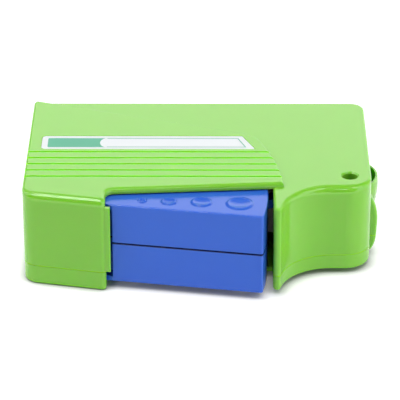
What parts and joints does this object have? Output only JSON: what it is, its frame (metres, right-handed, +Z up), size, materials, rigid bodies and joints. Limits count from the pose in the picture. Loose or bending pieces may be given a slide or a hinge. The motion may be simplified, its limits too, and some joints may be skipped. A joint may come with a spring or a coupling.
{
  "type": "fibre connector cleaning cassette",
  "caption": "Hand-held cassette that wipes fibre connector end faces on a dry tape; squeezing the side lever winds the tape on and opens the end shutter.",
  "frame": {"origin": "middle of the underside", "axes": "+X along the length to the cleaning window, +Y from the lever to the back, +Z up"},
  "size_m": [0.124, 0.0875, 0.0346],
  "materials": {
    "green_shell": "smooth moulded",
    "blue_lever": "smooth moulded",
    "label_film": "printed film",
    "white_moulding": "acetal",
    "black_moulding": "fine texture",
    "steel": "bright",
    "cleaning_cloth": "microfibre tape",
    "felt": "felt",
    "pad_rubber": "smooth"
  },
  "bodies": {
    "casing": {"upper_casing": "green_shell", "lower_cover": "green_shell", "top_label": "label_film", "casing_screws": "steel", "lever_pivot_pin": "steel", "roller_pins": "steel", "platen_holder": "black_moulding", "platen_pad": "pad_rubber", "window_plate": "black_moulding", "brake_felt": "felt", "brake_spring": "steel", "holding_pawl": "steel", "cleaning_tape": "cleaning_cloth", "lever_return_spring": "steel"},
    "lever": {"lever_upper_shell": "blue_lever", "lever_lower_shell": "blue_lever", "lever_screws": "steel", "drive_pawl_pin": "steel", "drive_pawl_spring": "steel"},
    "pawl": {"drive_pawl": "white_moulding"},
    "takeup": {"takeup_reel": "white_moulding", "ratchet_wheel": "white_moulding", "used_tape_roll": "cleaning_cloth"},
    "supply": {"supply_reel": "white_moulding", "clean_tape_roll": "cleaning_cloth"},
    "front_roller": {"front_tape_roller": "white_moulding"},
    "back_roller": {"back_tape_roller": "white_moulding"},
    "lead_roller": {"lead_tape_roller": "white_moulding"},
    "shutter": {"shutter": "green_shell"}
  },
  "joints": [
    {"name": "lever_swing", "type": "hinge", "parent": "casing", "child": "lever", "pos_m": [-0.0502, -0.03025, 0.0173], "axis": [0, 0, 1], "range_deg": [0, 9], "stiffness_Nm_per_rad": 0.45, "springref_deg": -9.74, "deforming": ["lever_return_spring"]},
    {"name": "drive_pawl_lift", "type": "hinge", "parent": "lever", "child": "pawl", "pos_m": [-0.0193, -0.01013, 0.006], "axis": [0, 0, 1], "range_deg": [0, 12], "stiffness_Nm_per_rad": 0.002, "springref_deg": -9.74, "deforming": ["drive_pawl_spring"]},
    {"name": "takeup_spin", "type": "hinge", "parent": "casing", "child": "takeup", "pos_m": [-0.0322, 0.01325, 0.0146], "axis": [0, 0, 1], "range_deg": [-15, 0], "deforming": ["holding_pawl"]},
    {"name": "supply_spin", "type": "hinge", "parent": "casing", "child": "supply", "pos_m": [0.0202, 0.01325, 0.0146], "axis": [0, 0, 1], "range_deg": [-7.1, 0]},
    {"name": "front_roller_spin", "type": "hinge", "parent": "casing", "child": "front_roller", "pos_m": [0.0532, -0.00925, 0.0146], "axis": [0, 0, 1], "range_deg": [-45, 0]},
    {"name": "back_roller_spin", "type": "hinge", "parent": "casing", "child": "back_roller", "pos_m": [0.0532, 0.02625, 0.0146], "axis": [0, 0, 1], "range_deg": [-45, 0]},
    {"name": "lead_roller_spin", "type": "hinge", "parent": "casing", "child": "lead_roller", "pos_m": [0.0018, -0.01175, 0.0146], "axis": [0, 0, 1], "range_deg": [-45, 0]},
    {"name": "shutter_slide", "type": "slide", "parent": "casing", "child": "shutter", "axis": [0, 1, 0], "range_m": [0, 0.01545]}
  ],
  "couplings": [
    {"joint": "takeup_spin", "follows": "lever_swing", "ratio": -1.6666},
    {"joint": "supply_spin", "follows": "lever_swing", "ratio": -0.7843},
    {"joint": "front_roller_spin", "follows": "lever_swing", "ratio": -4.9998},
    {"joint": "back_roller_spin", "follows": "lever_swing", "ratio": -4.9998},
    {"joint": "lead_roller_spin", "follows": "lever_swing", "ratio": -4.9998},
    {"joint": "shutter_slide", "follows": "lever_swing", "m_per_rad": 0.09826}
  ]
}
